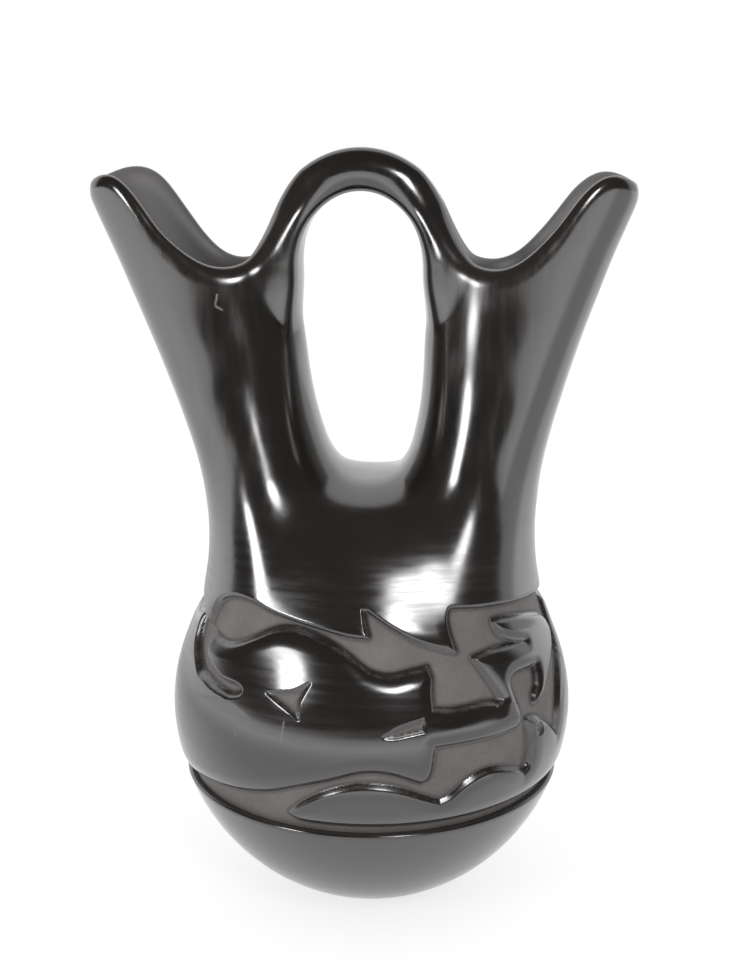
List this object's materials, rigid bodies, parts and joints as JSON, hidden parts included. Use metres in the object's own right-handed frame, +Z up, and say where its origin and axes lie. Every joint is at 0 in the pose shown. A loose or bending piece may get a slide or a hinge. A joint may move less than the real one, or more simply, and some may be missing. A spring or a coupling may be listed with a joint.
{
  "type": "pueblo wedding jar",
  "caption": "Polished blackware wedding jar: round carved belly, oval neck, two flaring spouts with dipped rims and a stirrup handle arching between them.",
  "frame": {"origin": "centre of the flat foot, on the surface that the jar stands on", "axes": "+Z up, +X towards the right-hand spout, -Y the carved front with the serpent's head"},
  "size_m": [0.1789, 0.136, 0.254],
  "materials": {
    "burnished_clay": "stone-burnished slip, near-black, high polish",
    "carved_clay": "burnished raised figures over a matte grey-brown carved ground"
  },
  "bodies": {
    "root": {"base_bowl": "burnished_clay", "carved_belly": "carved_clay", "shoulder": "burnished_clay", "neck": "burnished_clay", "saddle": "burnished_clay", "left_spout": "burnished_clay", "right_spout": "burnished_clay", "stirrup_handle": "burnished_clay"}
  },
  "joints": []
}
